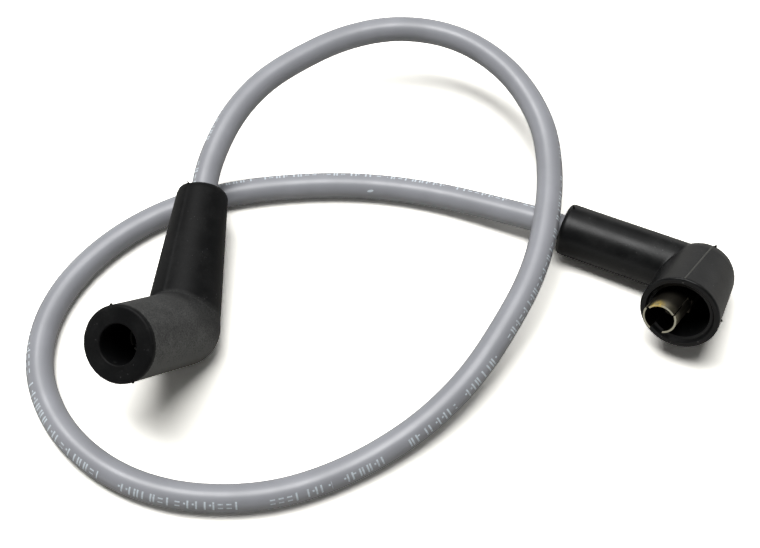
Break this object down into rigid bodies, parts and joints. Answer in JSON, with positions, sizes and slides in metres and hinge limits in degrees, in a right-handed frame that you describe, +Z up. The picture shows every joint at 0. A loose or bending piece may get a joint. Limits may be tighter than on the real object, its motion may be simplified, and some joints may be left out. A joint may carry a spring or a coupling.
{
  "type": "spark plug wire",
  "caption": "Grey silicone ignition lead with a bent black rubber boot and a sheet-metal terminal on each end, lying in a loose loop.",
  "frame": {"origin": "on the surface the lead lies on, under the middle of the box round both boots and their terminals", "axes": "+Z up from that surface; +X from the spark plug boot to the distributor boot, the longest way; +Y away from the viewer"},
  "size_m": [0.1844, 0.1441, 0.0389],
  "materials": {
    "black_rubber": "matte moulded rubber",
    "grey_silicone": "satin silicone",
    "pale_insulation": "matte",
    "carbon_yarn": "dull yarn",
    "plated_steel": "zinc plated sheet",
    "tarnished_brass": "tarnished sheet"
  },
  "bodies": {
    "root": {"plug_boot": "black_rubber", "plug_terminal": "plated_steel", "plug_terminal_spring": "plated_steel", "distributor_boot": "black_rubber", "distributor_terminal": "tarnished_brass", "cable_jacket": "grey_silicone", "cable_insulation": "pale_insulation", "conductor_core": "carbon_yarn"}
  },
  "joints": []
}
